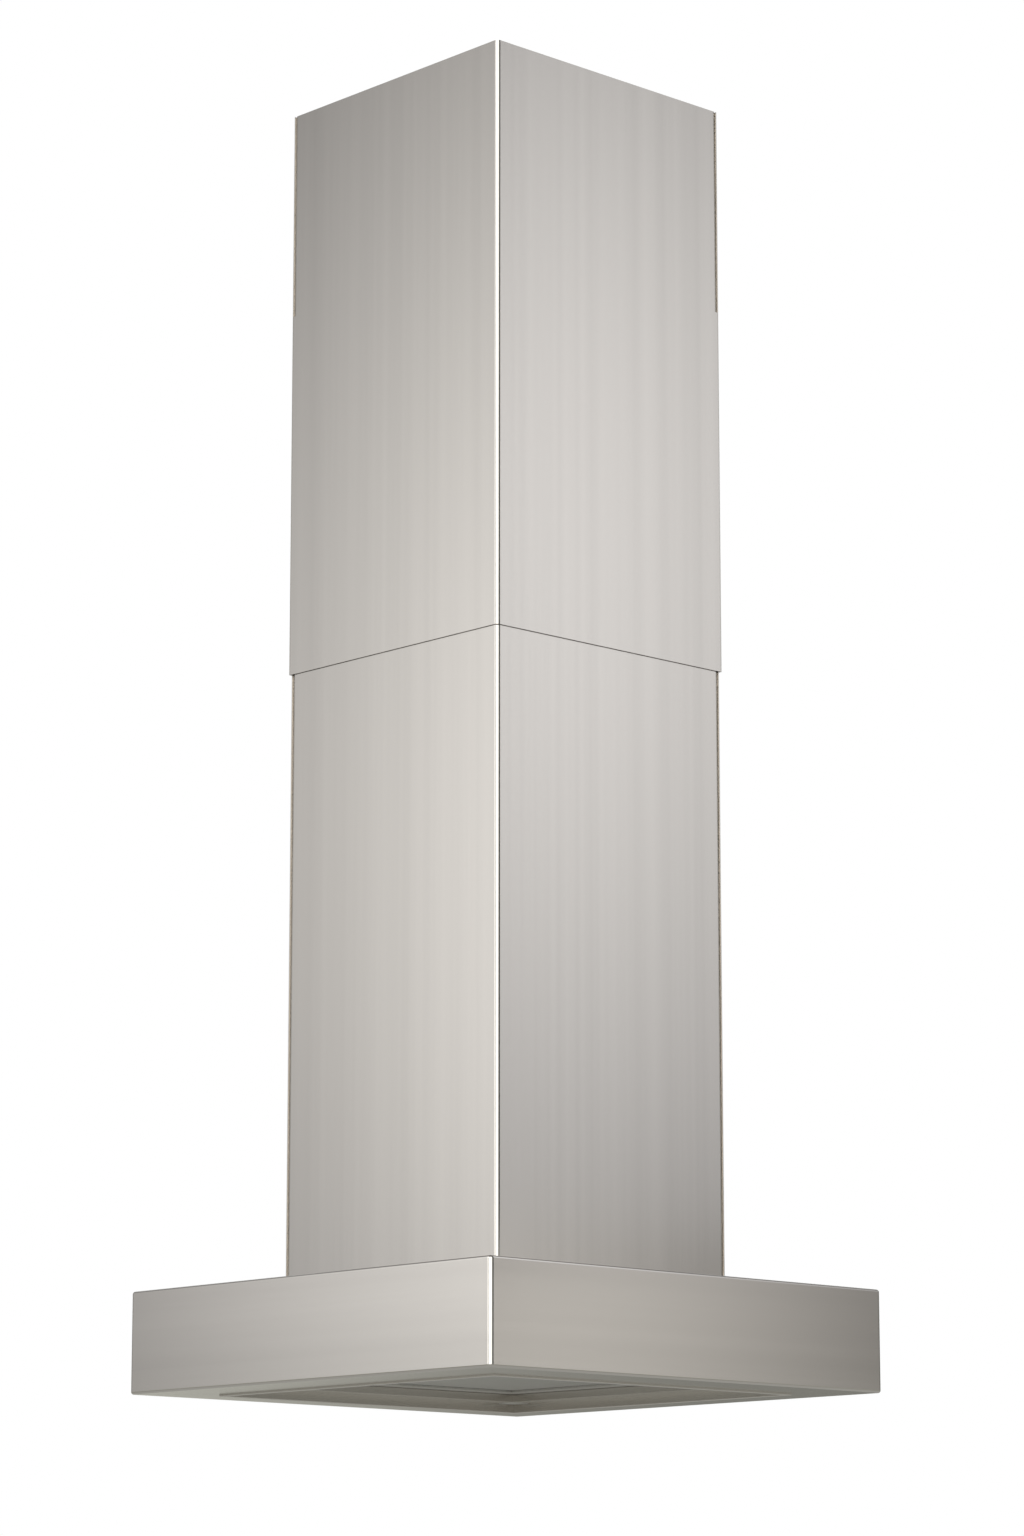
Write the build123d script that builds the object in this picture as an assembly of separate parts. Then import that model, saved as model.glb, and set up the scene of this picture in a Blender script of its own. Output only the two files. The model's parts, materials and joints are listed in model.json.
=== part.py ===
from build123d import *
import os
from math import cos, pi, sin

# Island range hood: a square canopy hung under the ceiling by a telescopic steel frame,
# with a two-part chimney cover round the frame, the blower and the duct.
# Millimetres, +Z up. The origin is the centre of the ceiling plate's top face.
# Front is -Y, right is +X.

# ---- driving dimensions ----
overall_height = 1517.0  # ceiling to the underside of the canopy
canopy_width = 600.0
canopy_height = 116.0
upper_cover_width = 356.0
upper_cover_length = 685.0
cover_overlap = 60.0  # lower cover hidden inside the upper one at rest
sheet = 1.0
bend_radius = 4.5  # outside radius of every upright bend
level_fold_radius = 3.0  # outside radius of the canopy's level folds
cover_gap = 1.2  # sliding gap between the two chimney covers
seam_gap = 0.2
seam_flange = 12.0
rest_gap = 0.5  # lower cover to canopy
body_gap = 0.4  # between pieces that move past each other

height_down = 30.0  # travel of the telescopic frame
height_up = 150.0
cover_lift = 200.0  # the lower cover can be pushed up this far

plate_half = 165.0
plate_thickness = 3.0
duct_hole_radius = 85.0
anchor_spacing = 200.0
anchor_hole_radius = 4.5

leg_corner = 150.0  # outer corner of the upper legs
leg_width = 30.0
leg_thickness = 2.0
leg_bolt_inset = 15.0
base_bolt_inset = 18.0
frame_bolt_radius = 2.5  # bolts and screws of the frame
base_bolt_radius = 3.0
bolt_clearance = 0.2  # added to a bolt's radius for its hole
screw_clearance = 0.05
hanger_wall = 1.5
hanger_depth = 28.0
hanger_screw_inset = 6.0
lock_bolt_heights = (-740.0, -780.0)
upper_leg_bottom = -800.0
lower_leg_top = -640.0

flange_width = 71.7  # canopy's inward bottom flange
liner_half = 228.0
ledge_rise = 8.0
bead_drop = 2.5
filter_pocket_half = 187.0
filter_half = 184.0
filter_bar = 24.0
filter_thickness = 9.0
filter_rise = 16.5  # canopy underside to the filter's underside
hinge_offset = 180.0
hinge_pin_radius = 2.0
hinge_pin_ends = (168.2, 190.0)  # how far each pin's ends stand from the middle

latch_front = -179.6  # the latch slider's front and back at rest
latch_back = -174.6
latch_half = 21.5
latch_tongue_half = 9.6
latch_tongue_reach = 2.6  # how far the tongue stands out of the filter
latch_grip_half = 15.0
latch_pocket_depth = 19.5
spring_offset = 15.0
spring_turns = 6
spring_radius = 1.9
spring_wire_radius = 0.3

fan_half = 118.0
fan_height = 230.0
inlet_half = 110.0
wheel_radius = 70.0
wheel_half_width = 44.0
wheel_blades = 36
scroll_half_width = 52.0
scroll_wall = 1.5
shaft_radius = 4.0
motor_radius = 42.0

collar_radius = 75.0
collar_height = 60.0
collar_plate_half = 92.0
collar_screw_offset = 85.0
damper_rise = 36.0  # damper pin over the blower's top
damper_pin_radius = 2.0
damper_stop_radius = 68.0
flap_radius = 73.2
flap_thickness = 0.8
knuckle_radius = 3.6

gland_centre = (-25.0, 132.3)
cable_slot_half = 12.0  # half-width of the slot that lets the cable through the ceiling plate
gland_bore = 5.25
gland_thread_radius = 8.0

lamp_centre = 206.0
lamp_radius = 17.5
lamp_hole_radius = 15.0
lamp_can_radius = 14.5
lamp_can_height = 24.0
lamp_lens_radius = 12.5
lamp_trim = 0.4  # how far a lamp's rim stands below the ledge
button_count = 5
button_radius = 7.0
button_pitch = 28.0
button_travel = 2.5

# ---- derived levels ----
canopy_bottom = -overall_height
canopy_top = canopy_bottom + canopy_height
lower_cover_width = upper_cover_width - 2 * (sheet + cover_gap)
lower_cover_top = cover_overlap - upper_cover_length
fan_top = canopy_top + fan_height
hinge_height = canopy_bottom + filter_rise + filter_thickness / 2
wheel_y = -18.0
wheel_z = canopy_top + 107.0
leg_bolt = leg_corner - leg_bolt_inset  # how far each bolt stands from the upright axis
base_bolt = leg_corner - base_bolt_inset
hanger_screw = plate_half - hanger_screw_inset
screw_hole_radius = frame_bolt_radius + screw_clearance
base_hole_radius = base_bolt_radius + bolt_clearance


# ---- shape helpers ----
def block(x, y, z):
    """Box between a low and a high limit on each axis."""
    low, high = zip(x, y, z)
    size = [b - a for a, b in zip(low, high)]
    middle = [(a + b) / 2 for a, b in zip(low, high)]
    return Pos(*middle) * Box(*size)


def slab(half_x, half_y, z):
    """Rectangular plate centred on the hood's upright axis."""
    return block((-half_x, half_x), (-half_y, half_y), z)


def square_ring(outer, inner, z):
    """Square ring centred on the hood's upright axis."""
    return slab(outer, outer, z) - slab(inner, inner, (z[0] - 1, z[1] + 1))


def rod(radius, start, end):
    """Round rod between two points."""
    run = Vector(*end) - Vector(*start)
    return Solid.make_cylinder(radius, run.length, Plane(origin=start, z_dir=run))


def tube(outer, inner, start, end):
    """Round tube between two points."""
    return rod(outer, start, end) - rod(inner, start, end)


def pan_screw(radius, seat, direction, length):
    """Pan-head screw: the head stands on the seat and the shank runs along the direction."""
    seat = Vector(*seat)
    direction = Vector(*direction)
    head = rod(radius * 1.8, tuple(seat), tuple(seat - direction * radius * 1.1))
    shank = rod(radius, tuple(seat), tuple(seat + direction * length))
    return head + shank


def hex_nut(radius, base, direction, height):
    """Hexagon nut whose bore clears its bolt by a hair."""
    plane = Plane(origin=base, z_dir=direction)
    outline = RegularPolygon(radius * 1.8, 6) - Circle(radius + 0.05)
    return extrude(plane * outline, height)


def spread(shape, count=4):
    """The same shape at equal turns round the hood's upright axis."""
    return [Rot(0, 0, 360 / count * index) * shape for index in range(count)]


def save(name, shapes):
    """Write one named node; a group of separate solids stays separate."""
    if isinstance(shapes, list):
        solids = [solid for shape in shapes for solid in shape.solids()]
        shapes = Compound(children=solids)
    export_step(shapes, f"parts/{name}.step")


# ---- chimney covers ----
def strip(points, z):
    """Upright sheet wall that follows a bent line seen from above."""
    line = FilletPolyline(*points, radius=bend_radius - sheet / 2)
    return extrude(Pos(0, 0, z[0]) * trace(line, sheet), z[1] - z[0])


def front_cover(width, z, flange_bottom):
    """Front and right walls in one bent sheet, with a seam flange at each free edge."""
    wall = width / 2 - sheet / 2
    edge = width / 2 - sheet - seam_gap
    inset = edge - sheet / 2
    folded = [
        (-inset, seam_flange - wall),
        (-inset, -wall),
        (wall, -wall),
        (wall, inset),
        (wall - seam_flange, inset),
    ]
    cover = strip(folded, (flange_bottom, z[1]))
    if flange_bottom > z[0]:
        plain = [(-edge, -wall), (wall, -wall), (wall, edge)]
        cover += strip(plain, (z[0], flange_bottom))
    return cover


def rear_cover(width, z):
    """Left and rear walls in one bent sheet that closes over the front cover's flanges."""
    wall = width / 2 - sheet / 2
    return strip([(-wall, -width / 2), (-wall, wall), (width / 2, wall)], z)


def seam_seats(width, heights):
    """Seat and direction of each seam screw, on the left and the rear faces."""
    half = width / 2
    inset = 8.0
    left = [((-half, inset - half, z), (1, 0, 0)) for z in heights]
    rear = [((half - inset, half, z), (0, -1, 0)) for z in heights]
    return left + rear


def cover_set(name, width, z, flange_bottom, screw_heights):
    """Two cover halves and the screws along their seams."""
    screw_radius = 2.0
    front = front_cover(width, z, flange_bottom)
    rear = rear_cover(width, z)
    screws = []
    for seat, direction in seam_seats(width, screw_heights):
        tip = tuple(Vector(*seat) + Vector(*direction) * 6)
        start = tuple(Vector(*seat) - Vector(*direction))
        hole = rod(screw_radius + 0.05, start, tip)
        front -= hole
        rear -= hole
        screws.append(pan_screw(screw_radius, seat, direction, 5.0))
    save(f"{name}_cover_front", front)
    save(f"{name}_cover_rear", rear)
    save(f"{name}_cover_screws", screws)


def make_covers():
    cover_set(
        "upper",
        upper_cover_width,
        (-upper_cover_length, -1.0),
        -250.0,
        (-60.0, -210.0),
    )
    bottom = canopy_top + rest_gap
    cover_set(
        "lower",
        lower_cover_width,
        (bottom, lower_cover_top),
        bottom,
        (bottom + 40, bottom + 160, bottom + 280),
    )


# ---- ceiling plate, cover hanger and telescopic frame ----
def angle_leg(corner, width, z):
    """Steel angle standing at the +X +Y corner of the frame."""
    outer = (corner - width, corner)
    inner = (corner - leg_thickness, corner)
    return block(outer, inner, z) + block(inner, outer, z)


def save_leg_pairs(name, leg):
    """Write the two right-hand legs and the two left-hand legs as one node each."""
    rear_right, rear_left, front_left, front_right = spread(leg)
    save(f"{name}_right", [rear_right, front_right])
    save(f"{name}_left", [rear_left, front_left])


def make_ceiling_plate():
    top = (-plate_thickness, 0.0)
    plate = slab(plate_half, plate_half, top)
    plate -= rod(duct_hole_radius, (0, 0, top[0] - 1), (0, 0, 1))
    anchor = anchor_spacing / 2
    for x, y, radius in (
        (anchor, anchor, anchor_hole_radius),
        (leg_bolt, leg_bolt, screw_hole_radius),
        (hanger_screw, 0.0, screw_hole_radius),
    ):
        for hole in spread(rod(radius, (x, y, top[0] - 1), (x, y, 1))):
            plate -= hole
    slot_x, slot_end = gland_centre
    plate -= block(
        (slot_x - cable_slot_half, slot_x + cable_slot_half),
        (duct_hole_radius / 2, slot_end + cable_slot_half),
        (top[0] - 1, 1),
    )
    save("ceiling_plate", plate)


def make_cover_hanger():
    """Square hanger under the ceiling plate that the upper cover is screwed to."""
    outer = upper_cover_width / 2 - sheet - 1.4
    level = -plate_thickness
    bottom = level - hanger_depth
    hanger = slab(outer, outer, (bottom, level))
    hanger = fillet(hanger.edges().filter_by(Axis.Z), 3.0)
    hanger -= slab(outer - hanger_wall, outer - hanger_wall, (bottom - 1, level - hanger_wall))
    hanger -= slab(leg_corner + 2, leg_corner + 2, (level - 2, level + 1))
    hole = rod(screw_hole_radius, (hanger_screw, 0, level - 3), (hanger_screw, 0, level + 1))
    for turned in spread(hole):
        hanger -= turned
    save("cover_hanger", hanger)


def make_upper_legs():
    """Four fixed legs with a foot under the ceiling plate and holes for the lock bolts."""
    top = -plate_thickness
    lock_hole = frame_bolt_radius + bolt_clearance / 2
    leg = angle_leg(leg_corner, leg_width, (upper_leg_bottom, top))
    span = (leg_corner - leg_width, leg_corner)
    leg += block(span, span, (top - leg_thickness, top))
    foot_hole = frame_bolt_radius + bolt_clearance
    leg -= rod(foot_hole, (leg_bolt, leg_bolt, top - 5), (leg_bolt, leg_bolt, top + 1))
    for z in lock_bolt_heights:
        leg -= rod(lock_hole, (leg_bolt, leg_corner - 5, z), (leg_bolt, leg_corner + 1, z))
    save_leg_pairs("upper_legs", leg)
    save("upper_brace", square_ring(leg_corner + 2, leg_corner, (-420.0, -396.0)))


def make_plate_screws():
    """Screws that hold the legs and the cover hanger up to the ceiling plate."""
    leg_seat = (leg_bolt, leg_bolt, -plate_thickness - leg_thickness)
    hanger_seat = (hanger_screw, 0, -plate_thickness - hanger_wall)
    leg_length = leg_thickness + plate_thickness - 0.3
    hanger_length = hanger_wall + plate_thickness - 0.3
    screws = spread(pan_screw(frame_bolt_radius, leg_seat, (0, 0, 1), leg_length))
    screws += spread(pan_screw(frame_bolt_radius, hanger_seat, (0, 0, 1), hanger_length))
    save("plate_screws", screws)


def make_lock_bolts():
    """Bolts that clamp the telescopic frame at the chosen height, and their nuts."""
    nut_face = leg_corner - 2 * leg_thickness - 2 * body_gap
    inward = (0, -1, 0)
    bolts = []
    nuts = []
    for z in lock_bolt_heights:
        bolts += spread(pan_screw(frame_bolt_radius, (leg_bolt, leg_corner, z), inward, 10.0))
        nuts += spread(hex_nut(frame_bolt_radius, (leg_bolt, nut_face, z), inward, 4.0))
    save("frame_lock_bolts", bolts)
    save("frame_lock_nuts", nuts)


def make_lower_legs():
    """Four sliding legs nested in the upper ones, slotted for the lock bolts."""
    corner = leg_corner - leg_thickness - body_gap
    width = leg_width - leg_thickness - 2 * body_gap - 1.2
    bottom = canopy_top + leg_thickness
    slot_half = frame_bolt_radius + 0.7
    slot_end = 4.0  # slot left beyond the bolts at each end of the travel
    leg = angle_leg(corner, width, (bottom, lower_leg_top))
    span = (corner - width, corner)
    leg += block(span, span, (bottom, bottom + leg_thickness))
    leg -= rod(base_hole_radius, (base_bolt, base_bolt, bottom - 1), (base_bolt, base_bolt, bottom + 4))
    leg -= block(
        (leg_bolt - slot_half, leg_bolt + slot_half),
        (corner - leg_thickness - 1, corner + 1),
        (
            min(lock_bolt_heights) - height_up - slot_end,
            max(lock_bolt_heights) + height_down + slot_end,
        ),
    )
    save_leg_pairs("lower_legs", leg)
    inner = corner - leg_thickness
    save("lower_brace", square_ring(inner, inner - 2, (lower_leg_top - 26, lower_leg_top - 6)))


def base_holes(low, high):
    """The four bolt holes that the leg base and the canopy's top share."""
    return spread(rod(base_hole_radius, (base_bolt, base_bolt, low), (base_bolt, base_bolt, high)))


def make_leg_base():
    """Base ring that joins the legs to the canopy; its lip centres the lower cover."""
    outer = lower_cover_width / 2 - 2 * sheet - seam_gap - 1.2
    lip_wall = 1.5
    lip_height = 14.0
    base = square_ring(outer, fan_half + 2, (canopy_top, canopy_top + leg_thickness))
    base += square_ring(outer, outer - lip_wall, (canopy_top, canopy_top + lip_height))
    for hole in base_holes(canopy_top - 1, canopy_top + 4):
        base -= hole
    save("leg_base", base)
    seat = (base_bolt, base_bolt, canopy_top + 2 * leg_thickness)
    nut_seat = (base_bolt, base_bolt, canopy_top - sheet)
    save("base_bolts", spread(pan_screw(base_bolt_radius, seat, (0, 0, -1), 11.0)))
    save("base_nuts", spread(hex_nut(base_bolt_radius, nut_seat, (0, 0, -1), 4.5)))


# ---- canopy and its underside ----
def rounded_box(half, z, upright, level):
    """Square box with rounded upright edges and smaller rounds along bottom and top."""
    box = slab(half, half, z)
    box = fillet(box.edges().filter_by(Axis.Z), upright)
    box = fillet(box.faces().sort_by(Axis.Z)[0].edges(), level)
    return fillet(box.faces().sort_by(Axis.Z)[-1].edges(), level)


def button_places():
    """Centre of each push-button along the rear face."""
    return [(index - (button_count - 1) / 2) * button_pitch for index in range(button_count)]


def button_level():
    return canopy_bottom + canopy_height / 2


def make_canopy():
    half = canopy_width / 2
    opening = half - flange_width
    radii = (bend_radius, level_fold_radius)
    shell = rounded_box(half, (canopy_bottom, canopy_top), *radii)
    shell -= rounded_box(
        half - sheet,
        (canopy_bottom + sheet, canopy_top - sheet),
        *(radius - sheet for radius in radii),
    )
    shell -= slab(opening, opening, (canopy_bottom - 1, canopy_bottom + 5))
    shell -= slab(inlet_half, inlet_half, (canopy_top - 5, canopy_top + 1))
    for hole in base_holes(canopy_top - 5, canopy_top + 1):
        shell -= hole
    for x in button_places():
        shell -= rod(button_radius + 0.5, (x, half - 5, button_level()), (x, half + 1, button_level()))
    for seam in spread(mitre_seam(half, opening)):
        shell -= seam
    save("canopy", shell)


def mitre_seam(half, opening):
    """Fine mitre line across the bottom flange at the +X +Y corner."""
    middle = (half - bend_radius + opening) / 2
    length = (half - bend_radius - opening) * 2**0.5 - 2
    width = 0.35
    depth = 0.8
    return Pos(middle, middle, canopy_bottom) * Rot(0, 0, 45) * Box(length, width, depth)


def make_liner():
    """Stepped pan under the canopy: bead, lamp ledge and filter pocket."""
    base = canopy_bottom
    ledge = base + ledge_rise
    seat = base + filter_rise + filter_thickness + 2.5
    wall = liner_half - 2.4
    bead = square_ring(liner_half, liner_half - 3, (base - bead_drop, base + 0.8))
    bead = fillet(bead.edges().group_by(Axis.Z)[0], 1.0)
    liner = bead + square_ring(wall, wall - sheet, (base - bead_drop + 1.2, ledge + sheet))
    liner += square_ring(liner_half + 14, wall - sheet, (base + 1.2, base + 1.2 + sheet))
    liner += square_ring(liner_half - 1, wall - sheet, (base + 0.5, base + 1.5))
    liner += square_ring(wall, filter_pocket_half, (ledge, ledge + sheet))
    liner += square_ring(filter_pocket_half + sheet, filter_pocket_half, (ledge, seat + sheet))
    liner += square_ring(filter_pocket_half + sheet, filter_pocket_half - 11, (seat, seat + sheet))
    at = (lamp_centre, lamp_centre)
    for hole in spread(rod(lamp_hole_radius, (*at, ledge - 1), (*at, ledge + 2))):
        liner -= hole
    save("inner_liner", liner - hinge_rod(hinge_pin_radius + 0.06, -200, 200))


def make_lamps():
    """Four LED spot lamps flush in the ledge, each a housing with a frosted lens."""
    ledge = canopy_bottom + ledge_rise
    at = (lamp_centre, lamp_centre)
    housing = rod(lamp_radius, (*at, ledge - lamp_trim), (*at, ledge))
    housing += rod(lamp_can_radius, (*at, ledge - lamp_trim), (*at, ledge + lamp_can_height))
    housing -= rod(lamp_lens_radius + 0.1, (*at, ledge - 2), (*at, ledge + lamp_can_height - 4))
    for z in range(4, 23, 6):
        fin_gap = (ledge + z, ledge + z + 2.5)
        housing -= tube(lamp_can_radius + 1, lamp_can_radius - 0.9, (*at, fin_gap[0]), (*at, fin_gap[1]))
    lens = rod(lamp_lens_radius, (*at, ledge - lamp_trim / 2), (*at, ledge + 1.6))
    save("lamp_housings", spread(housing))
    save("lamp_lenses", spread(lens))


# ---- grease filter ----
def hinge_rod(radius, start, end):
    """Round rod on the filter's hinge line."""
    return rod(radius, (start, hinge_offset, hinge_height), (end, hinge_offset, hinge_height))


def make_filter():
    """Filter frame with its latch pocket, the mesh in it and the two hinge pins."""
    low = canopy_bottom + filter_rise
    high = low + filter_thickness
    inner = filter_half - filter_bar
    mesh_lap = 3.0  # how far the mesh reaches into the frame's groove
    groove = mesh_lap + 0.2
    pocket_half = latch_half + 0.5
    pocket_end = latch_pocket_depth - filter_half
    frame = square_ring(filter_half, inner, (low, high))
    frame = fillet(frame.edges().filter_by(Axis.Z).group_by(SortBy.DISTANCE)[-1], 3.0)
    frame -= slab(inner + groove, inner + groove, (low + 2.0, high - 2.0))
    frame -= block((-pocket_half, pocket_half), (-180, pocket_end), (low - 1, low + 6.5))
    frame -= block((-10, 10), (-filter_half - 1, latch_front + 0.6), (low + 2, low + 6))
    start, end = hinge_pin_ends
    pins = []
    for side in (-1, 1):
        frame -= hinge_rod(hinge_pin_radius + 0.02, side * (start - 0.2), side * 200)
        pins.append(hinge_rod(hinge_pin_radius, side * start, side * end))
    save("filter_frame", frame)
    save("filter_mesh", slab(inner + mesh_lap, inner + mesh_lap, (low + 2.2, high - 2.2)))
    save("filter_hinge_pins", pins)
    make_filter_latch(low, pocket_end)


def make_filter_latch(low, pocket_end):
    """Sprung slider at the filter's front edge, its cover plate and its two springs."""
    tongue_tip = -filter_half - latch_tongue_reach
    slider = block((-latch_half, latch_half), (latch_front, latch_back), (low + 0.4, low + 6.1))
    slider += block(
        (-latch_tongue_half, latch_tongue_half), (tongue_tip, latch_front + 0.6), (low + 2.4, low + 5.6)
    )
    slider += block(
        (-latch_grip_half, latch_grip_half), (latch_front, latch_front + 2), (low - 5, low + 3)
    )
    save("filter_latch", slider)
    slot_half = latch_grip_half + 0.6
    plate = block((-27, 27), (-182.5, -162), (low - 1.2, low - 0.1))
    plate -= block((-slot_half, slot_half), (latch_front - 0.6, latch_back + 3.1), (low - 3, low + 1))
    save("latch_plate", plate)
    save("latch_springs", latch_springs(low + 3.3, pocket_end))


def latch_springs(level, pocket_end):
    """The two coil springs between the slider and the end of its pocket."""
    length = pocket_end - latch_back - 3 * spring_wire_radius
    path = Helix(length / spring_turns, length, spring_radius)
    wire = Plane(origin=path @ 0, z_dir=path % 0) * Circle(spring_wire_radius)
    spring = sweep(wire, path=path, is_frenet=True)
    foot = latch_back + 0.4
    return [
        Plane(origin=(x, foot, level), z_dir=(0, 1, 0)).location * spring
        for x in (-spring_offset, spring_offset)
    ]


# ---- blower ----
def make_fan_box():
    """Blower enclosure on the canopy's top, open at the bottom."""
    z = (canopy_top, fan_top)
    box = slab(fan_half, fan_half, z)
    box = fillet(box.edges().filter_by(Axis.Z), 2.0)
    box -= slab(fan_half - sheet, fan_half - sheet, (z[0] + sheet, z[1] - sheet))
    box -= slab(fan_half - 8, fan_half - 8, (z[0] - 1, z[0] + 3))
    box -= rod(72.0, (0, 0, z[1] - 3), (0, 0, z[1] + 1))
    save("fan_box", box)


def scroll_outline():
    """Air space of the scroll: three growing quarter arcs and a flared outlet."""
    step = 10.0
    first = 86.0
    half = step / 2
    tongue = 75.0
    start = (-half + first * cos(tongue * pi / 180), -half + first * sin(tongue * pi / 180))
    throat = fan_top - sheet - wheel_z
    arcs = [
        CenterArc((-half, -half), first, tongue, 180 - tongue),
        CenterArc((half, -half), first + step, 180, 90),
        CenterArc((half, half), first + 2 * step, 270, 90),
    ]
    right = half + first + 2 * step
    walls = Polyline(
        (right, half),
        (right - 6, 70.0),
        (right - 22, throat + 10),
        (-52.0, throat + 10),
        (-48.0, throat - 4),
        start,
    )
    return make_face([*arcs, walls])


def make_scroll():
    """Scroll housing in two moulded halves, each with a round inlet in its side."""
    throat = fan_top - sheet - wheel_z - 0.3
    air = scroll_outline()
    skin = offset(air, scroll_wall)
    lid = Pos(0, throat + 50) * Rectangle(400, 100)
    plane = Plane(origin=(0, wheel_y, wheel_z), x_dir=(0, 1, 0), z_dir=(1, 0, 0))
    skin -= lid
    for name, side in (("left", -1), ("right", 1)):
        inlet = Circle(58.0)
        reach = scroll_half_width - 0.1
        wall = extrude(plane * (skin - air), side * reach)
        start = Pos(side * (scroll_half_width - scroll_wall), 0, 0)
        cheek = start * extrude(plane * (skin - inlet), side * (scroll_wall - 0.1))
        ring = start * extrude(plane * (Circle(60.5) - inlet), side * -6.0)
        save(f"scroll_{name}", wall + cheek + ring)


def make_wheel():
    """Double-inlet wheel: a middle disc, two rims and forward-curved blades."""
    axis = Plane(origin=(0, wheel_y, wheel_z), x_dir=(0, 1, 0), z_dir=(1, 0, 0))
    hub = Circle(10.0) - Circle(shaft_radius)
    wheel = extrude(axis * (Circle(wheel_radius) - Circle(shaft_radius)), 0.8, both=True)
    wheel += extrude(axis * hub, 5.0, both=True)
    rim = extrude(axis * (Circle(wheel_radius) - Circle(wheel_radius - 9)), 2.0)
    wheel += Pos(wheel_half_width - 2, 0, 0) * rim
    wheel += Pos(-wheel_half_width, 0, 0) * rim
    profile = Pos(wheel_radius - 6.2, 0) * Rot(0, 0, 25) * Rectangle(10.5, 1.0)
    blade = extrude(profile, wheel_half_width - 0.5, both=True)
    blades = [
        axis.location * Rot(0, 0, 360 / wheel_blades * index) * blade
        for index in range(wheel_blades)
    ]
    save("impeller_wheel", wheel + blades)
    save("motor_shaft", rod(shaft_radius, (-16, wheel_y, wheel_z), (66, wheel_y, wheel_z)))


def make_motor():
    """Motor inside the right half of the wheel, on a three-armed bracket."""
    bore = rod(shaft_radius + 0.06, (0, wheel_y, wheel_z), (90, wheel_y, wheel_z))
    case = rod(motor_radius, (12, wheel_y, wheel_z), (64, wheel_y, wheel_z))
    case = fillet(case.edges().filter_by(GeomType.CIRCLE), 4.0)
    case += rod(12.0, (8, wheel_y, wheel_z), (70, wheel_y, wheel_z))
    save("motor", case - bore)
    axis = Plane(origin=(scroll_half_width + 0.1, wheel_y, wheel_z), x_dir=(0, 1, 0), z_dir=(1, 0, 0))
    arms = Circle(motor_radius + 6) - Circle(motor_radius + 0.1)
    for index in range(3):
        arms += Rot(0, 0, 90 + 120 * index) * Pos(motor_radius + 14, 0) * Rectangle(24, 12)
    save("motor_bracket", extrude(axis * arms, 2.0))


def make_collar():
    """Round duct collar on the blower, with a stop ring and the damper pin."""
    base = fan_top
    pin_z = base + damper_rise
    reach = collar_radius - 0.3
    bore = collar_radius - sheet
    screw_radius = 2.0
    collar = slab(collar_plate_half, collar_plate_half, (base, base + sheet))
    collar -= rod(bore, (0, 0, base - 1), (0, 0, base + 3))
    collar += tube(collar_radius, bore, (0, 0, base), (0, 0, base + collar_height))
    collar += tube(bore + 0.5, damper_stop_radius, (0, 0, pin_z - 2.2), (0, 0, pin_z - 1.2))
    collar -= rod(damper_pin_radius + 0.02, (-90, 0, pin_z), (90, 0, pin_z))
    offsets = (-collar_screw_offset, collar_screw_offset)
    corners = [(x, y, base + sheet) for x in offsets for y in offsets]
    for x, y, z in corners:
        collar -= rod(screw_radius + screw_clearance, (x, y, z - 2), (x, y, z + 1))
    save("duct_collar", collar)
    save("damper_pin", rod(damper_pin_radius, (-reach, 0, pin_z), (reach, 0, pin_z)))
    save("collar_screws", [pan_screw(screw_radius, corner, (0, 0, -1), 0.9) for corner in corners])
    for name, side, spans in (
        ("rear", 1, ((-60, -42), (12, 30))),
        ("front", -1, ((-30, -12), (42, 60))),
    ):
        save(f"damper_flap_{name}", damper_flap(side, spans, pin_z))


def damper_flap(side, spans, pin_z):
    """Half-round flap with two knuckles on the damper pin."""
    skin = (pin_z - flap_thickness / 2, pin_z + flap_thickness / 2)
    flap = rod(flap_radius, (0, 0, skin[0]), (0, 0, skin[1]))
    flap -= block((-90, 90), sorted((-side * 90, side * (knuckle_radius + 1))), (pin_z - 5, pin_z + 5))
    for start, end in spans:
        flap += rod(knuckle_radius, (start, 0, pin_z), (end, 0, pin_z))
        flap += block((start, end), sorted((side * 2.6, side * 5.5)), skin)
    return flap - rod(damper_pin_radius + 0.06, (-80, 0, pin_z), (80, 0, pin_z))


# ---- electrics ----
def make_electrics():
    """Capacitor, lamp driver and mains terminal box on the blower's sides."""
    side = fan_half + 0.3
    low = canopy_top + 90
    make_capacitor(side, low)
    driver = block((-side - 30, -side), (-50, 50), (low, low + 45))
    save("lamp_driver", fillet(driver.edges().filter_by(Axis.X), 3.0))
    make_terminal_box(side, low)
    make_cable_gland(low)


def make_capacitor(side, low):
    """Motor capacitor in a clip on the blower's right side."""
    radius = 16.0
    bore = radius + 0.1
    clip_wall = 1.5
    clip_z = (low + 26, low + 38)
    centre = (side + radius + 2, 0.0)
    capacitor = rod(radius, (*centre, low), (*centre, low + 64))
    save("motor_capacitor", fillet(capacitor.edges().filter_by(GeomType.CIRCLE), 1.5))
    clip = rod(bore + clip_wall, (*centre, clip_z[0]), (*centre, clip_z[1]))
    clip += block((side, side + clip_wall), (-26, 26), clip_z)
    save("capacitor_clip", clip - rod(bore, (*centre, low + 20), (*centre, low + 50)))


def make_terminal_box(side, low):
    """Mains terminal box on the blower's rear side, with its lid and terminal block."""
    box_y = (side, side + 28)
    box = block((-45, 45), box_y, (low, low + 75))
    box -= block((-43, 43), (box_y[0] + 2, box_y[1] + 1), (low + 2, low + 73))
    thread_hole = gland_thread_radius + screw_clearance
    box -= rod(thread_hole, (*gland_centre, low + 70), (*gland_centre, low + 80))
    save("terminal_box", box)
    save("terminal_lid", block((-45, 45), (box_y[1] + 0.1, box_y[1] + 2.1), (low, low + 75)))
    save("terminal_block", block((-32, 32), (side + 2.2, side + 20), (low + 12, low + 30)))


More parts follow.
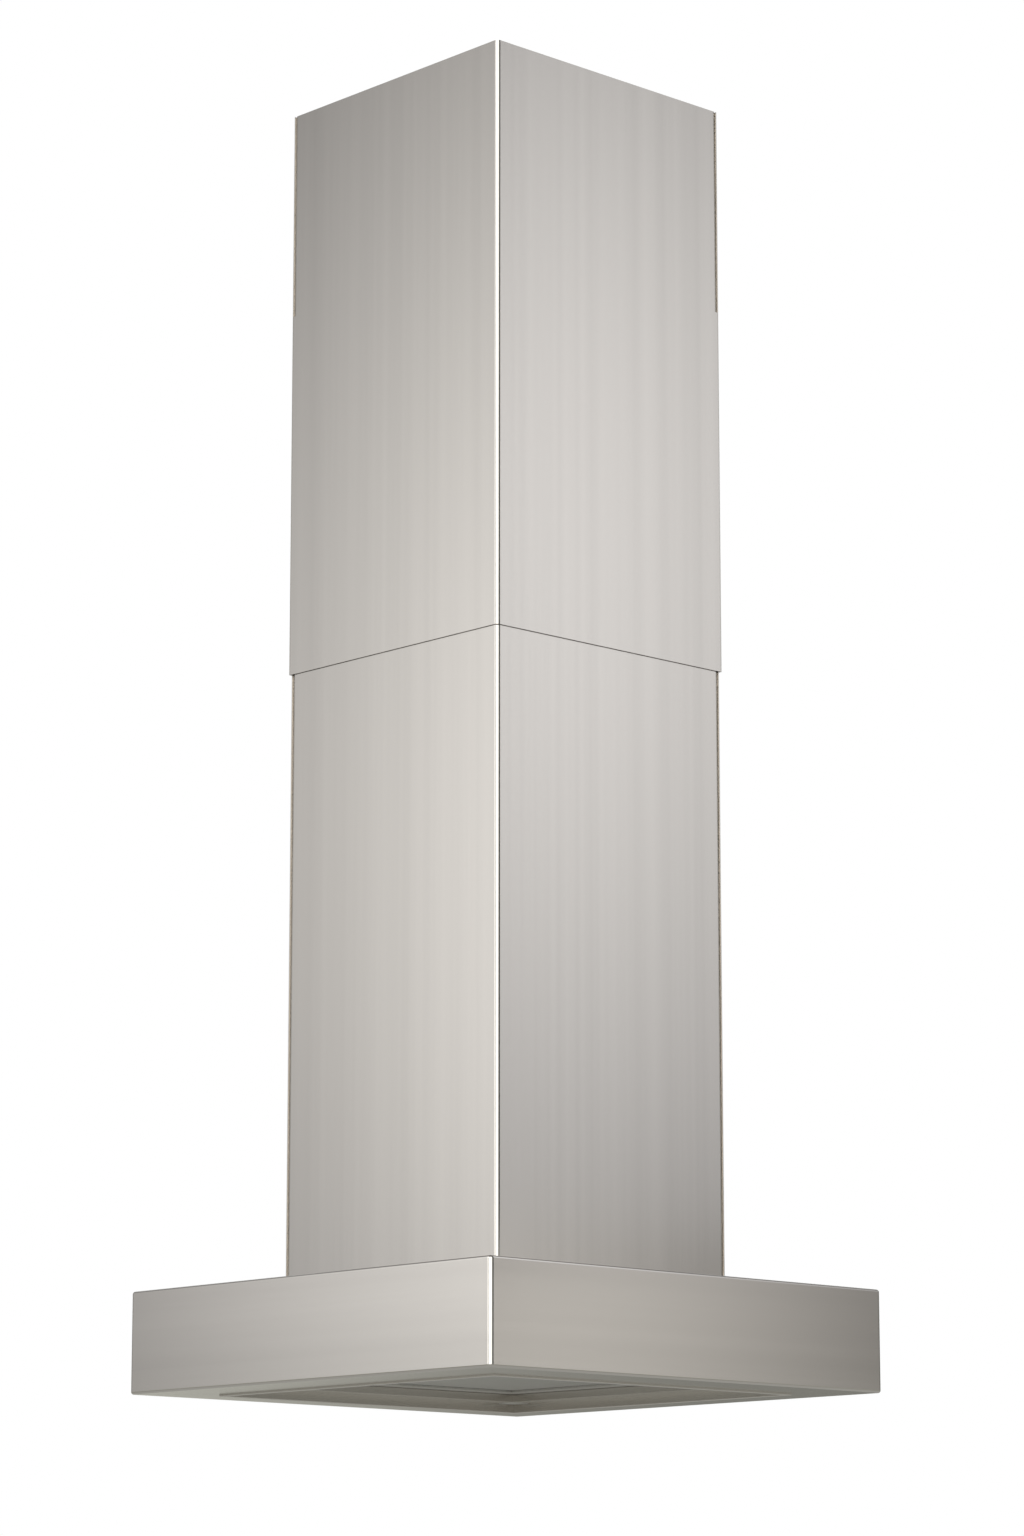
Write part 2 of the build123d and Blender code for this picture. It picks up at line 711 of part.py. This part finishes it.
def make_cable_gland(low):
    """Cable gland in the terminal box's top: thread, two hexagons and a cap."""
    at = gland_centre
    hexagon = RegularPolygon(11.5, 6)
    cap_radius = 9.2
    body = rod(gland_thread_radius, (*at, low + 66), (*at, low + 76))
    body += extrude(Plane(origin=(*at, low + 75.1)) * hexagon, 7)
    body += extrude(Plane(origin=(*at, low + 68)) * hexagon, 4.9)
    body += rod(cap_radius, (*at, low + 80), (*at, low + 92))
    save("cable_gland", body - rod(gland_bore, (*at, low + 60), (*at, low + 100)))


def make_controls():
    """Push-button panel in the canopy's rear face."""
    face = canopy_width / 2
    level = button_level()
    bezel = block((-78, 78), (face, face + 1.5), (level - 16, level + 16))
    bezel = fillet(bezel.edges().filter_by(Axis.Y), 5.0)
    housing = block((-78, 78), (face - 25, face - sheet - 0.1), (level - 15, level + 15))
    housing -= block((-76, 76), (face - 23, face + 1), (level - 13, level + 13))
    switches = []
    for index, x in enumerate(button_places(), start=1):
        centre = (x, level)
        bezel -= along_y(button_radius + 0.4, centre, (face - 1, face + 3))
        button = along_y(button_radius, centre, (face - 3.5, face + 4))
        button = fillet(button.edges().filter_by(GeomType.CIRCLE).sort_by(Axis.Y)[-1], 1.0)
        button += along_y(button_radius + 1.6, centre, (face - 3.4, face - 1.8))
        button += along_y(3.0, centre, (face - 10, face - 3))
        save(f"push_button_{index}", button)
        switches.append(block((x - 6, x + 6), (face - 21.2, face - 13), (level - 6, level + 6)))
    save("control_bezel", bezel)
    save("control_housing", housing)
    save("push_switches", switches)
    save("control_board", block((-74, 74), (face - 22.9, face - 21.3), (level - 12, level + 12)))


def along_y(radius, centre, y):
    """Round rod along Y at an (x, z) centre."""
    x, z = centre
    return rod(radius, (x, y[0], z), (x, y[1], z))


os.makedirs("parts", exist_ok=True)
make_covers()
make_ceiling_plate()
make_cover_hanger()
make_upper_legs()
make_plate_screws()
make_lock_bolts()
make_lower_legs()
make_leg_base()
make_canopy()
make_liner()
make_lamps()
make_filter()
make_fan_box()
make_scroll()
make_wheel()
make_motor()
make_collar()
make_electrics()
make_controls()
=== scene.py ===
import json
from math import cos, radians, sin

import bpy
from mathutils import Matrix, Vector


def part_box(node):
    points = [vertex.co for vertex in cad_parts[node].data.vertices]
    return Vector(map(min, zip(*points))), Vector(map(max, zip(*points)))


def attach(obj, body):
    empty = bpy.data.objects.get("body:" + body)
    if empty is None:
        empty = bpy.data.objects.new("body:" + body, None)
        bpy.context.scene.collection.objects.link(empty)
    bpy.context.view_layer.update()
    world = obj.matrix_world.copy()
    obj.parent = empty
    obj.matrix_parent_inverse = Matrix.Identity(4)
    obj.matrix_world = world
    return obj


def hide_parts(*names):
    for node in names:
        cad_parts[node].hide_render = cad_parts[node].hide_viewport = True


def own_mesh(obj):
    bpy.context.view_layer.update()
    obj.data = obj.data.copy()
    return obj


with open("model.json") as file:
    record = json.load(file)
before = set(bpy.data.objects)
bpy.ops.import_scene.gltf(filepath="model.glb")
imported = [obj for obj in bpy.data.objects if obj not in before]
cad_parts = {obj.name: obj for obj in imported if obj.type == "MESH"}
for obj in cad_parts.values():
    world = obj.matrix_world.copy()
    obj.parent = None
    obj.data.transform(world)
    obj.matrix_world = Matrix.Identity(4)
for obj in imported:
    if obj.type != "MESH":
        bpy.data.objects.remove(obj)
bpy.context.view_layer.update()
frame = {"nodes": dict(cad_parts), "record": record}
nodes = frame["nodes"]

# ---- places worked out from the frame, in metres ----
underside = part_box("canopy")[0].z
room_floor = underside - 2.0  # the hood hangs this far over the floor


# ---- node helpers ----
def new_material(name):
    """Empty node material with a Principled shader, and its nodes and links."""
    material = bpy.data.materials.new(name)
    material.use_nodes = True
    tree = material.node_tree
    shader = tree.nodes["Principled BSDF"]
    return material, tree, shader


def add_node(tree, kind, **values):
    """Node of that kind with its sockets or properties set by name."""
    node = tree.nodes.new(kind)
    for key, value in values.items():
        name = key.replace("_", " ")
        if name in node.inputs:
            node.inputs[name].default_value = value
        elif key in node.inputs:
            node.inputs[key].default_value = value
        else:
            setattr(node, key, value)
    return node


def object_space(tree, scale=(1.0, 1.0, 1.0)):
    """Object coordinates stretched by a scale on each axis."""
    place = tree.nodes.new("ShaderNodeTexCoord")
    mapping = add_node(tree, "ShaderNodeMapping")
    mapping.inputs["Scale"].default_value = scale
    tree.links.new(place.outputs["Object"], mapping.inputs["Vector"])
    return mapping.outputs["Vector"]


def noise(tree, vector, scale, detail=3.0, roughness=0.5):
    """Noise texture's 0 to 1 value at the given coordinates."""
    node = add_node(tree, "ShaderNodeTexNoise", Scale=scale, Detail=detail, Roughness=roughness)
    tree.links.new(vector, node.inputs["Vector"])
    return node.outputs["Fac"]


def ramp(tree, factor, stops):
    """Colour ramp through (position, colour) stops."""
    node = tree.nodes.new("ShaderNodeValToRGB")
    elements = node.color_ramp.elements
    while len(elements) < len(stops):
        elements.new(0.5)
    for element, (position, colour) in zip(elements, stops):
        element.position = position
        element.color = (*colour, 1.0)
    tree.links.new(factor, node.inputs["Fac"])
    return node.outputs["Color"]


def spread_value(tree, factor, low, high):
    """Maps a 0 to 1 factor onto a range of values."""
    node = add_node(tree, "ShaderNodeMapRange")
    node.inputs["To Min"].default_value = low
    node.inputs["To Max"].default_value = high
    tree.links.new(factor, node.inputs["Value"])
    return node.outputs["Result"]


def bump(tree, shader, height, strength, distance):
    """Fine relief from a 0 to 1 height."""
    node = add_node(tree, "ShaderNodeBump", Strength=strength, Distance=distance)
    tree.links.new(height, node.inputs["Height"])
    tree.links.new(node.outputs["Normal"], shader.inputs["Normal"])


def times(values, amount):
    """Every value multiplied by the same amount."""
    return tuple(value * amount for value in values)


# ---- materials ----
# Noise scales on each axis, high across the brush marks and low along them.
upright_grain = (1400.0, 1400.0, 9.0)
canopy_grain = (9.0, 9.0, 1400.0)
level_grain = (1400.0, 9.0, 9.0)
streak_width = 35  # streaks are this many times as wide as the brush marks
wave_period = 0.314  # metres between the wave texture's crests at scale 1
# The largest part of a sheet's normal is 1 on its flat faces, and less round its bends.
bend_starts = 0.9995
bend_is_full = 0.995


def brushed_steel(name, colour, grain, roughness=0.24, bend_roughness=0.10):
    """Brushed stainless sheet, smoother round its bends; grain is one of the noise scales above."""
    material, tree, shader = new_material(name)
    shader.inputs["Metallic"].default_value = 1.0
    brush = brush_marks(tree, grain)
    streaks = noise(tree, object_space(tree, times(grain, 1 / streak_width)), scale=1.0, detail=2.0)
    mix = add_node(tree, "ShaderNodeMath", operation="MULTIPLY_ADD")
    brush_share = 0.35
    mix.inputs[1].default_value = brush_share
    tree.links.new(brush, mix.inputs[0])
    tree.links.new(streaks, mix.inputs[2])
    darkest, lightest = times(colour, 0.955), times(colour, 1.035)
    tint = ramp(tree, mix.outputs[0], [(0.40, darkest), (0.90, lightest)])
    tree.links.new(tint, shader.inputs["Base Color"])
    flat = spread_value(tree, brush, roughness - 0.03, roughness + 0.04)
    rough = add_node(tree, "ShaderNodeMix", data_type="FLOAT")
    tree.links.new(bend_mask(tree), rough.inputs["Factor"])
    tree.links.new(flat, rough.inputs[2])
    rough.inputs[3].default_value = bend_roughness
    tree.links.new(rough.outputs[0], shader.inputs["Roughness"])
    bump(tree, shader, brush, strength=0.05, distance=0.0002)
    return material


def brush_marks(tree, grain):
    """Fine brush marks: along the grain on upright faces, and along Y on level ones."""
    upright = noise(tree, object_space(tree, grain), scale=1.0, detail=4.0, roughness=0.6)
    level = noise(tree, object_space(tree, level_grain), scale=1.0, detail=4.0, roughness=0.6)
    place = tree.nodes.new("ShaderNodeTexCoord")
    split = tree.nodes.new("ShaderNodeSeparateXYZ")
    tree.links.new(place.outputs["Normal"], split.inputs[0])
    tilt = add_node(tree, "ShaderNodeMath", operation="ABSOLUTE")
    tree.links.new(split.outputs["Z"], tilt.inputs[0])
    marks = add_node(tree, "ShaderNodeMix", data_type="FLOAT")
    tree.links.new(tilt.outputs[0], marks.inputs["Factor"])
    tree.links.new(upright, marks.inputs[2])
    tree.links.new(level, marks.inputs[3])
    return marks.outputs[0]


def bend_mask(tree):
    """One where the sheet bends away from the object's axes, nought on its flat faces."""
    place = tree.nodes.new("ShaderNodeTexCoord")
    size = add_node(tree, "ShaderNodeVectorMath", operation="ABSOLUTE")
    tree.links.new(place.outputs["Normal"], size.inputs[0])
    split = tree.nodes.new("ShaderNodeSeparateXYZ")
    tree.links.new(size.outputs[0], split.inputs[0])
    wide = add_node(tree, "ShaderNodeMath", operation="MAXIMUM")
    tree.links.new(split.outputs["X"], wide.inputs[0])
    tree.links.new(split.outputs["Y"], wide.inputs[1])
    widest = add_node(tree, "ShaderNodeMath", operation="MAXIMUM")
    tree.links.new(wide.outputs[0], widest.inputs[0])
    tree.links.new(split.outputs["Z"], widest.inputs[1])
    node = add_node(tree, "ShaderNodeMapRange")
    node.inputs["From Min"].default_value = bend_starts
    node.inputs["From Max"].default_value = bend_is_full
    tree.links.new(widest.outputs[0], node.inputs["Value"])
    return node.outputs["Result"]


def speckled(name, colour, metallic, roughness, scale, depth=0.0003, spread=0.12):
    """Cast, moulded or plated surface with fine mottling in colour, roughness and height."""
    material, tree, shader = new_material(name)
    shader.inputs["Metallic"].default_value = metallic
    grain = noise(tree, object_space(tree), scale, detail=4.0, roughness=0.55)
    tint = ramp(tree, grain, [(0.3, times(colour, 1 - spread)), (0.7, times(colour, 1 + spread))])
    tree.links.new(tint, shader.inputs["Base Color"])
    rough = spread_value(tree, grain, roughness - 0.06, roughness + 0.08)
    tree.links.new(rough, shader.inputs["Roughness"])
    bump(tree, shader, grain, strength=0.25, distance=depth)
    return material


def woven_metal(name, colour, pitch, roughness=0.36):
    """Aluminium wires crossing at right angles, with painted shade darkening the hollows between them.
    """
    material, tree, shader = new_material(name)
    shader.inputs["Metallic"].default_value = 1.0
    wires = []
    for turn in (0, 90):
        place = tree.nodes.new("ShaderNodeTexCoord")
        mapping = add_node(tree, "ShaderNodeMapping")
        mapping.inputs["Rotation"].default_value = (0, 0, radians(turn))
        tree.links.new(place.outputs["Object"], mapping.inputs["Vector"])
        wave = add_node(tree, "ShaderNodeTexWave", Scale=wave_period / pitch, Distortion=0.0)
        tree.links.new(mapping.outputs["Vector"], wave.inputs["Vector"])
        wires.append(wave.outputs["Fac"])
    weave = add_node(tree, "ShaderNodeMath", operation="MAXIMUM")
    tree.links.new(wires[0], weave.inputs[0])
    tree.links.new(wires[1], weave.inputs[1])
    wear = noise(tree, object_space(tree), scale=30.0, detail=4.0)
    height = add_node(tree, "ShaderNodeMath", operation="MULTIPLY_ADD")
    wear_share = 0.1
    height.inputs[1].default_value = 1 - wear_share
    worn = spread_value(tree, wear, 0.0, wear_share)
    tree.links.new(weave.outputs[0], height.inputs[0])
    tree.links.new(worn, height.inputs[2])
    # The weave's low places are darkened to 0.35 of the colour: painted shade between the wires.
    painted_hollow_shade = times(colour, 0.35)
    tint = ramp(tree, height.outputs[0], [(0.35, painted_hollow_shade), (0.8, colour)])
    tree.links.new(tint, shader.inputs["Base Color"])
    rough = spread_value(tree, wear, roughness - 0.04, roughness + 0.08)
    tree.links.new(rough, shader.inputs["Roughness"])
    bump(tree, shader, weave.outputs[0], strength=0.35, distance=0.0008)
    return material


steel_colour = (0.67, 0.645, 0.61)
# One material for each slot in the record. The numbers after a speckled colour are its metallic,
# roughness and mottling scale, then the depth and colour spread of the mottling where they are
# not the usual ones. The woven mesh has its pitch in metres.
materials = {
    "brushed_steel": brushed_steel("cover_steel", steel_colour, upright_grain),
    "canopy_steel": brushed_steel("canopy_steel", steel_colour, canopy_grain),
    "galvanised": speckled("galvanised_sheet", (0.52, 0.53, 0.54), 0.9, 0.42, 38.0, 0.0002, 0.18),
    "zinc_fastener": speckled("zinc_plate", (0.66, 0.65, 0.60), 1.0, 0.28, 260.0),
    "aluminium_mesh": woven_metal("woven_aluminium", (0.66, 0.65, 0.62), 0.0025),
    "aluminium_frame": speckled("satin_aluminium", (0.66, 0.65, 0.63), 1.0, 0.34, 320.0),
    "black_plastic": speckled("black_moulding", (0.028, 0.028, 0.03), 0.0, 0.42, 500.0),
    "grey_plastic": speckled("grey_moulding", (0.36, 0.37, 0.38), 0.0, 0.45, 500.0),
    "wheel_plastic": speckled("wheel_moulding", (0.07, 0.07, 0.075), 0.0, 0.38, 450.0),
    "motor_paint": speckled("motor_enamel", (0.045, 0.045, 0.05), 0.2, 0.32, 180.0),
    "shaft_steel": speckled("ground_steel", (0.60, 0.60, 0.59), 1.0, 0.2, 600.0),
    "spring_steel": speckled("spring_wire", (0.52, 0.52, 0.52), 1.0, 0.22, 500.0),
    # The lens's dark grey is painted shade and reflection: it stands in for the dark housing mirrored in
    # the unlit lens.
    "frosted_lens": speckled("frosted_lens", (0.30, 0.30, 0.28), 0.0, 0.32, 700.0, 0.0001, 0.03),
    "white_plastic": speckled("white_moulding", (0.74, 0.74, 0.71), 0.0, 0.36, 500.0, 0.0002, 0.04),
    "circuit_board": speckled("circuit_board", (0.03, 0.13, 0.05), 0.0, 0.34, 240.0),
    "button_metal": speckled("satin_chrome", (0.70, 0.69, 0.67), 1.0, 0.16, 600.0, 0.00005, 0.03),
    "capacitor_case": speckled("capacitor_case", (0.70, 0.70, 0.66), 0.0, 0.34, 400.0, 0.0002, 0.05),
}
for subpart in frame["record"]["subparts"]:
    piece = nodes[subpart["node"]]
    piece.data.materials.clear()
    piece.data.materials.append(materials[subpart["material_slot"]])


# ---- the latch springs, which ride on the latch ----
def coil_spring(name, middle, low, high, radius, wire):
    """Compression spring along Y between two ends, with its end turns closed."""
    turns = 6
    steps = 20 * turns
    sides = 8
    run = high - low - 2 * wire
    corners = []
    for step in range(steps + 1):
        share = step / steps
        eased = (1 - cos(radians(180) * share)) / 2
        along = low + wire + run * (share + eased) / 2
        turn = radians(360) * turns * share
        for side in range(sides):
            round_wire = radians(360) * side / sides
            reach = radius + wire * cos(round_wire)
            across, up = reach * cos(turn), reach * sin(turn)
            corners.append((middle.x + across, along + wire * sin(round_wire), middle.z + up))
    faces = [tuple(range(sides)), tuple(steps * sides + side for side in reversed(range(sides)))]
    for step in range(steps):
        for side in range(sides):
            here, beside = step * sides + side, step * sides + (side + 1) % sides
            faces.append((here, here + sides, beside + sides, beside))
    mesh = bpy.data.meshes.new(name)
    mesh.from_pydata(corners, [], faces)
    mesh.materials.append(materials["spring_steel"])
    for polygon in mesh.polygons[2:]:
        polygon.use_smooth = True
    spring = bpy.data.objects.new(name, mesh)
    bpy.context.scene.collection.objects.link(spring)
    return spring


def make_latch_springs():
    """Both springs ride on the latch."""
    low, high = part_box("latch_springs")
    outer = (high.z - low.z) / 2
    wire = 0.0003
    for name, x in (("latch_spring_left", low.x + outer), ("latch_spring_right", high.x - outer)):
        middle = Vector((x, 0, (low.z + high.z) / 2))
        spring = coil_spring(name, middle, low.y, high.y, outer - wire, wire)
        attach(spring, "filter_latch")
        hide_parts("latch_springs")
        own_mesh(spring)


make_latch_springs()


# ---- studio ----
lamp_tint = (1.0, 0.985, 0.955)


def stage_plane(name, centre, across, up, width, height, material, seen=False):
    """Flat studio card or floor, given its centre and two directions in its plane."""
    across, up = Vector(across).normalized() * width / 2, Vector(up).normalized() * height / 2
    centre = Vector(centre)
    corners = [centre - across - up, centre + across - up, centre + across + up, centre - across + up]
    mesh = bpy.data.meshes.new(name)
    mesh.from_pydata([tuple(c) for c in corners], [], [(0, 1, 2, 3)])
    layer = mesh.uv_layers.new(name="plane")
    for loop, place in zip(layer.data, ((0, 0), (1, 0), (1, 1), (0, 1))):
        loop.uv = place
    mesh.materials.append(material)
    card = bpy.data.objects.new(name, mesh)
    bpy.context.scene.collection.objects.link(card)
    card.visible_camera = seen
    return card


def glow_light(name, centre, reach, core, rim, tint=lamp_tint):
    """Softbox emission: brightest at one place on the card and fading smoothly around it."""
    material = bpy.data.materials.new(name)
    material.use_nodes = True
    tree = material.node_tree
    tree.nodes.clear()
    place = tree.nodes.new("ShaderNodeUVMap")
    offset = add_node(tree, "ShaderNodeVectorMath", operation="SUBTRACT")
    offset.inputs[1].default_value = (*centre, 0)
    stretch = add_node(tree, "ShaderNodeVectorMath", operation="DIVIDE")
    stretch.inputs[1].default_value = (*reach, 1)
    spread = add_node(tree, "ShaderNodeVectorMath", operation="LENGTH")
    tree.links.new(place.outputs["UV"], offset.inputs[0])
    tree.links.new(offset.outputs["Vector"], stretch.inputs[0])
    tree.links.new(stretch.outputs["Vector"], spread.inputs[0])
    fade = add_node(tree, "ShaderNodeMapRange", interpolation_type="SMOOTHSTEP")
    fade.inputs["To Min"].default_value = core
    fade.inputs["To Max"].default_value = rim
    tree.links.new(spread.outputs["Value"], fade.inputs["Value"])
    emit = add_node(tree, "ShaderNodeEmission")
    emit.inputs["Color"].default_value = (*tint, 1)
    tree.links.new(fade.outputs["Result"], emit.inputs["Strength"])
    out = tree.nodes.new("ShaderNodeOutputMaterial")
    tree.links.new(emit.outputs["Emission"], out.inputs["Surface"])
    return material


def even_light(name, strength):
    """A card of one brightness."""
    return glow_light(name, (0.5, 0.5), (1, 1), strength, strength)


def plain_floor():
    """Matte pale floor with faint mottling."""
    material, tree, shader = new_material("studio_floor")
    grain = noise(tree, object_space(tree), scale=3.0)
    tint = ramp(tree, grain, [(0.0, (0.80, 0.80, 0.79)), (1.0, (0.84, 0.84, 0.83))])
    tree.links.new(tint, shader.inputs["Base Color"])
    shader.inputs["Roughness"].default_value = 0.9
    return material


floor_side = 80
floor = stage_plane(
    "floor", (0, 0, room_floor), (1, 0, 0), (0, 1, 0), floor_side, floor_side, plain_floor(), seen=True,
)
floor.visible_glossy = False

# Side cards: the softboxes that the two plain faces mirror, each facing the hood along a diagonal.
# Ends are measured from the hood's axis towards the near bend, and levels from the underside.
card_distance = 1.1
toward_bend = Vector((1, -1, 0)).normalized()


def side_card(name, side, ends, levels, centre, reach, core, rim, tint):
    """Softbox beside the hood; its glow's centre and reach are in metres, along and up the card."""
    middle = Vector(side).normalized() * card_distance + toward_bend * sum(ends) / 2
    middle.z = underside + sum(levels) / 2
    width, height = ends[1] - ends[0], levels[1] - levels[0]
    place = ((centre[0] - ends[0]) / width, (centre[1] - levels[0]) / height)
    glow = glow_light(name + "_light", place, (reach[0] / width, reach[1] / height), core, rim, tint)
    stage_plane(name, middle, toward_bend, (0, 0, 1), width, height, glow)


side_card(
    "left_card", (-1, -1, 0), ends=(-0.65, 0.65), levels=(0.0, 2.4),
    centre=(0.52, 0.84), reach=(1.04, 1.97), core=1.3, rim=0.25,
    tint=(1.0, 0.99, 0.985),
)
side_card(
    "right_card", (1, 1, 0), ends=(-0.65, 0.43), levels=(0.26, 2.4),
    centre=(0.39, 1.2), reach=(1.18, 1.92), core=1.16, rim=0.12,
    tint=(1.0, 0.995, 1.01),
)
# What the canopy's right face mirrors, under the card that the chimney's right face mirrors.
side_card(
    "right_low_card", (1, 1, 0), ends=(-0.65, 0.60), levels=(0.0, 0.26),
    centre=(0.50, 0.1), reach=(0.74, 0.8), core=0.85, rim=0.2,
    tint=(1.0, 0.975, 0.94),
)


def far_card(name, start, end, brightness):
    """Upright card far from the hood, between two directions in degrees from +X."""
    distance = 4.0
    height = 3.6
    middle = radians((start + end) / 2)
    half_turn = radians((end - start) / 2)
    reach = distance * cos(half_turn)
    stage_plane(
        name, (reach * cos(middle), reach * sin(middle), underside + height / 2),
        (-sin(middle), cos(middle), 0), (0, 0, 1),
        2 * distance * sin(half_turn), height, even_light(name + "_light", brightness),
    )


# The near bend mirrors these: bright strips with a thin dark one. Straight ahead of each plain
# face there is a gap, so that the face doesn't mirror a card when it is seen square on.
far_card("front_card_left", -137, -99, 2.2)
far_card("front_card_right", -81, -16, 2.2)
far_card("dark_card", 9, 36, 0.01)


def back_card(name, levels, glow):
    """Upright card close behind the hood, between two levels above the underside."""
    centre = (-0.95, 0.89, underside + sum(levels) / 2)
    across = (0.683, 0.731, 0)
    width = 1.8
    stage_plane(name, centre, across, (0, 0, 1), width, levels[1] - levels[0], glow)


# The canopy's underside mirrors the low card, which is brighter towards its left end. The sheets'
# downward edges mirror the dark card over it.
low_glow = glow_light(
    "low_light", centre=(0.08, 0.7), reach=(0.60, 1.2), core=0.60, rim=0.24, tint=(1.0, 1.0, 0.90),
)
back_card("low_card", (-0.6, 0.0), low_glow)
back_card("shade_card", (0.1, 0.6), even_light("shade_light", 0.03))


def make_world():
    """White room for the eye and matte surfaces; what the metal mirrors is dimmer, and dark overhead."""
    world = bpy.data.worlds.new("studio")
    world.use_nodes = True
    tree = world.node_tree
    tree.nodes.clear()
    seen = tree.nodes.new("ShaderNodeLightPath")
    backdrop = add_node(tree, "ShaderNodeBackground", Strength=1.0)
    backdrop.inputs["Color"].default_value = (1, 1, 1, 1)
    place = tree.nodes.new("ShaderNodeTexCoord")
    split = tree.nodes.new("ShaderNodeSeparateXYZ")
    tree.links.new(place.outputs["Generated"], split.inputs["Vector"])
    height = add_node(tree, "ShaderNodeMapRange")
    height.inputs["From Min"].default_value = -1.0
    tree.links.new(split.outputs["Z"], height.inputs["Value"])
    sky = ramp(tree, height.outputs["Result"], [
        (0.30, (0.44, 0.44, 0.42)),
        (0.40, (0.30, 0.30, 0.27)),
        (0.46, (0.42, 0.42, 0.37)),
        (0.52, (0.44, 0.44, 0.42)),
        (0.76, (0.70, 0.70, 0.69)),
        (0.86, (0.02, 0.02, 0.02)),
    ])
    studio = add_node(tree, "ShaderNodeBackground", Strength=1.0)
    tree.links.new(sky, studio.inputs["Color"])
    plain = add_node(tree, "ShaderNodeMath", operation="MAXIMUM")
    tree.links.new(seen.outputs["Is Camera Ray"], plain.inputs[0])
    tree.links.new(seen.outputs["Is Diffuse Ray"], plain.inputs[1])
    mix = tree.nodes.new("ShaderNodeMixShader")
    out = tree.nodes.new("ShaderNodeOutputWorld")
    tree.links.new(plain.outputs[0], mix.inputs[0])
    tree.links.new(studio.outputs[0], mix.inputs[1])
    tree.links.new(backdrop.outputs[0], mix.inputs[2])
    tree.links.new(mix.outputs[0], out.inputs[0])
    bpy.context.scene.world = world


make_world()
bpy.context.scene.view_settings.view_transform = "Standard"


# ---- camera ----
def make_camera():
    """Long lens a little below the hood, almost on the diagonal between the two plain faces."""
    distance = 5.13
    turn = radians(47.03)  # from the right face's normal towards the front face's
    drop = 0.336  # below the canopy's underside
    heading = radians(136.94)  # from +X
    pitch = radians(11.63)
    data = bpy.data.cameras.new("camera")
    data.sensor_width = 36.0
    data.lens = 105.96
    camera = bpy.data.objects.new("camera", data)
    bpy.context.scene.collection.objects.link(camera)
    camera.location = (distance * sin(turn), -distance * cos(turn), underside - drop)
    forward = Vector((cos(heading) * cos(pitch), sin(heading) * cos(pitch), sin(pitch)))
    camera.rotation_mode = "QUATERNION"
    camera.rotation_quaternion = forward.to_track_quat("-Z", "Y")
    bpy.context.scene.camera = camera


make_camera()
